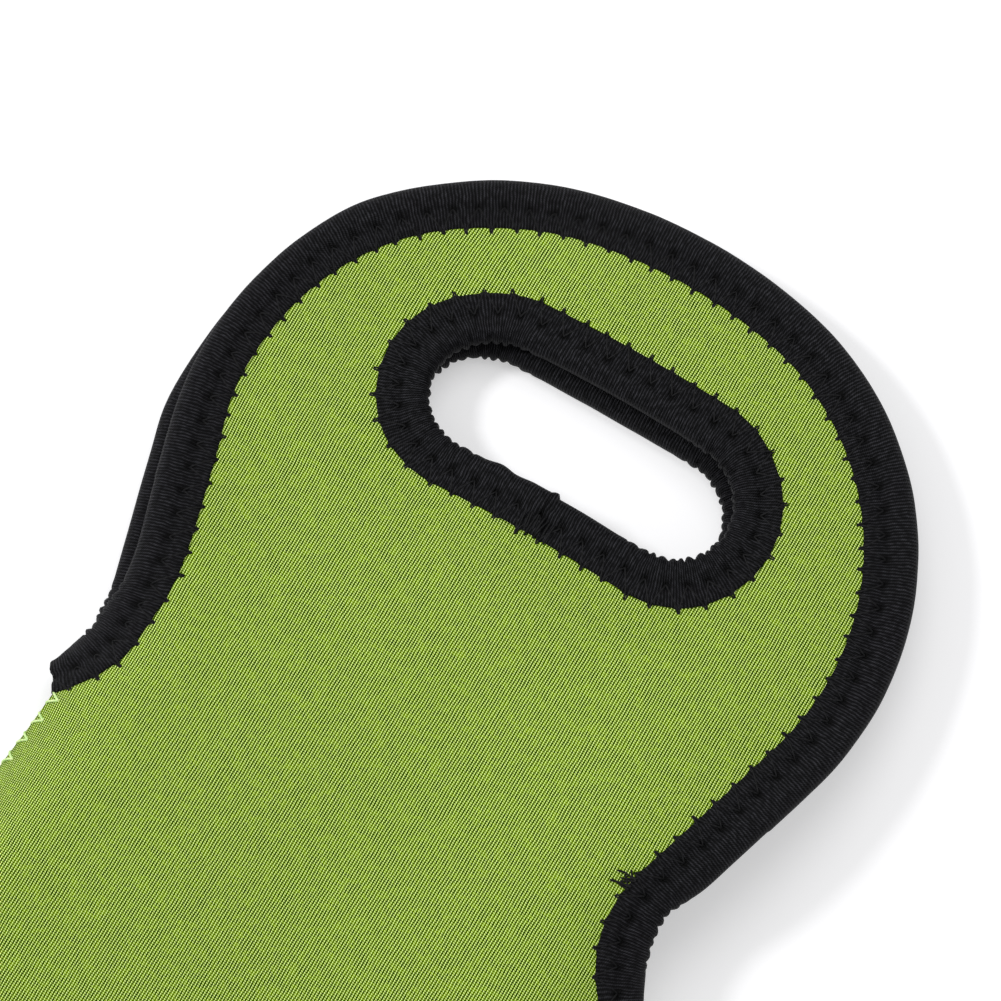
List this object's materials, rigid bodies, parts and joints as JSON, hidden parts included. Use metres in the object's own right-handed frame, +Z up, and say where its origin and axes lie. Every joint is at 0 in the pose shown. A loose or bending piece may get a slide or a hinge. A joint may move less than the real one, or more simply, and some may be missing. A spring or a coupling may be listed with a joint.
{
  "type": "bottle carrier",
  "caption": "Soft padded carrier for one bottle: a flat sewn pouch open at the top, with two rounded handle heads, each with a taped edge and an oblong hand slot.",
  "frame": {"origin": "on the floor under the middle of the part, as it lies on its back", "axes": "+X across, +Y along the carrier towards the handles, +Z up from the floor through the front panel"},
  "size_m": [0.148, 0.39, 0.0241],
  "materials": {
    "green_knit": "matt ribbed jersey knit bonded to foam",
    "black_foam": "closed-cell synthetic rubber foam",
    "black_lining": "matt smooth knit bonded to foam",
    "black_tape": "fine ribbed knit binding tape",
    "black_thread": "spun polyester thread",
    "green_thread": "spun polyester thread"
  },
  "bodies": {
    "pouch": {"front_body_knit": "green_knit", "front_body_foam": "black_foam", "front_body_lining": "black_lining", "back_body_knit": "green_knit", "back_body_foam": "black_foam", "back_body_lining": "black_lining", "left_side_seam": "green_thread", "bottom_seam": "green_thread", "right_side_seam": "green_thread"},
    "front_handle": {"front_handle_knit": "green_knit", "front_handle_foam": "black_foam", "front_handle_lining": "black_lining", "front_edge_binding": "black_tape", "front_slot_binding": "black_tape", "front_edge_stitching": "black_thread", "front_slot_stitching": "black_thread"},
    "back_handle": {"back_handle_knit": "green_knit", "back_handle_foam": "black_foam", "back_handle_lining": "black_lining", "back_edge_binding": "black_tape", "back_slot_binding": "black_tape", "back_edge_stitching": "black_thread", "back_slot_stitching": "black_thread"}
  },
  "joints": [
    {"name": "front_handle_fold", "type": "hinge", "parent": "pouch", "child": "front_handle", "pos_m": [0, 0.05969, 0.0156], "axis": [1, 0, 0], "range_deg": [0, 120]},
    {"name": "back_handle_fold", "type": "hinge", "parent": "pouch", "child": "back_handle", "pos_m": [0, 0.05969, 0], "axis": [1, 0, 0], "range_deg": [-120, 0]}
  ]
}
